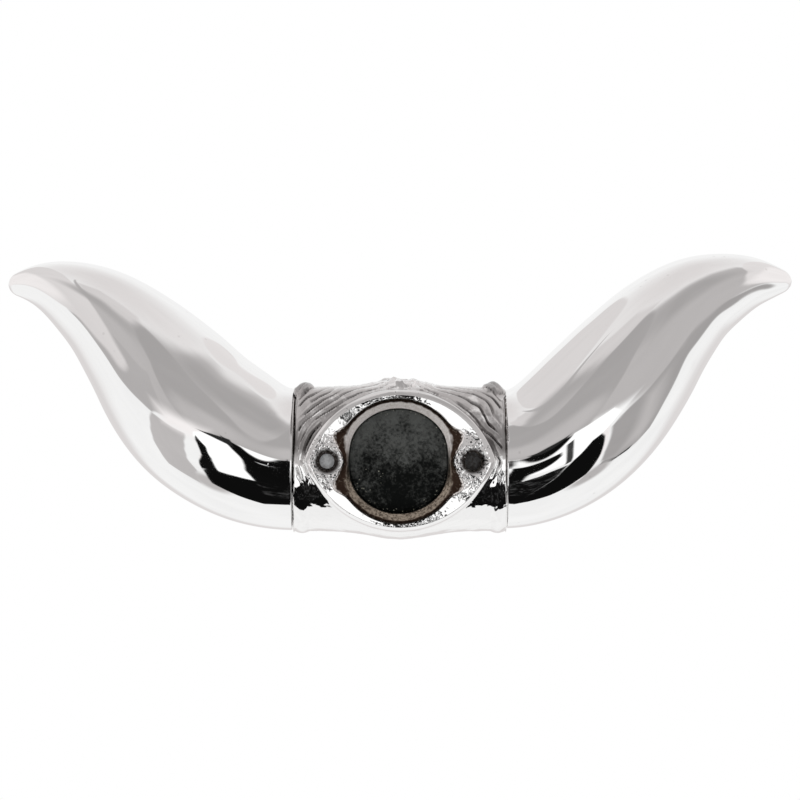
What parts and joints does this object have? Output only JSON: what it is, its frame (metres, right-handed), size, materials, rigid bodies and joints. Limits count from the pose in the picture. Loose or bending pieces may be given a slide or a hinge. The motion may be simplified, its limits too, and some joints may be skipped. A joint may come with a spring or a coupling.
{
  "type": "bull horn ornament",
  "caption": "Polished cast bull horn ornament: two curved horns plugged into a hide-wrapped centre that screws to a flat panel by the oval pad on its back.",
  "frame": {"origin": "middle of the line between the two screw holes, on the flat face of the mounting pad", "axes": "+X along the barrel and the span of the horns, to the right as seen from behind the pad; +Z towards the side that the horns curve to; the pad faces -Y"},
  "size_m": [0.283, 0.0584, 0.1023],
  "materials": {
    "chrome_casting": "bright plating over a rough casting, bare dark zinc in the pocket",
    "chrome_horns": "mirror polished plating"
  },
  "bodies": {
    "root": {"hide_wrap": "chrome_casting", "left_horn": "chrome_horns", "right_horn": "chrome_horns"}
  },
  "joints": []
}
